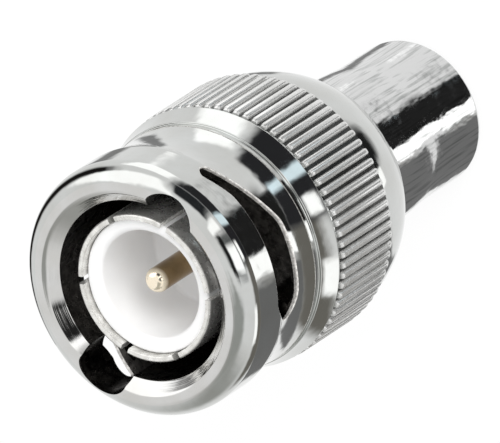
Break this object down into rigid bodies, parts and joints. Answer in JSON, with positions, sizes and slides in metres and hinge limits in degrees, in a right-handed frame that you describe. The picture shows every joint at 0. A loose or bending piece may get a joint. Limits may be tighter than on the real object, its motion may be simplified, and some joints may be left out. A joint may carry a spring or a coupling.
{
  "type": "bnc to rca adapter",
  "caption": "Straight coaxial adapter: a knurled bayonet nut turns around a slotted contact ring and centre pin, and a plain phono socket barrel stands out behind it.",
  "frame": {"origin": "centre of the phono barrel's open end, on the adapter's axis", "axes": "+Z along the axis from the phono barrel to the mouth of the bayonet nut, -Y towards the middle of the front window less 10 degrees"},
  "size_m": [0.0146, 0.0146, 0.0274],
  "materials": {
    "nickel_plate": "bright nickel plate",
    "white_insulator": "smooth white fluoropolymer",
    "gold_plate": "gold plate",
    "gasket_rubber": "matt silicone rubber",
    "spring_steel": "bare spring steel"
  },
  "bodies": {
    "body": {"rear_body": "nickel_plate", "rear_insulator": "white_insulator", "centre_contact": "gold_plate", "front_insulator": "white_insulator", "outer_contact": "nickel_plate", "gasket": "gasket_rubber", "wave_washer": "spring_steel"},
    "thrust_ring": {"thrust_washer": "spring_steel"},
    "nut": {"coupling_nut": "nickel_plate"}
  },
  "joints": [
    {"name": "nut_pull", "type": "slide", "parent": "body", "child": "thrust_ring", "axis": [0, 0, 1], "range_m": [0, 0.0007], "stiffness_N_per_m": 1500, "deforming": ["wave_washer"]},
    {"name": "nut_turn", "type": "hinge", "parent": "thrust_ring", "child": "nut", "pos_m": [0, 0, 0.0155], "axis": [0, 0, 1], "continuous": true}
  ]
}
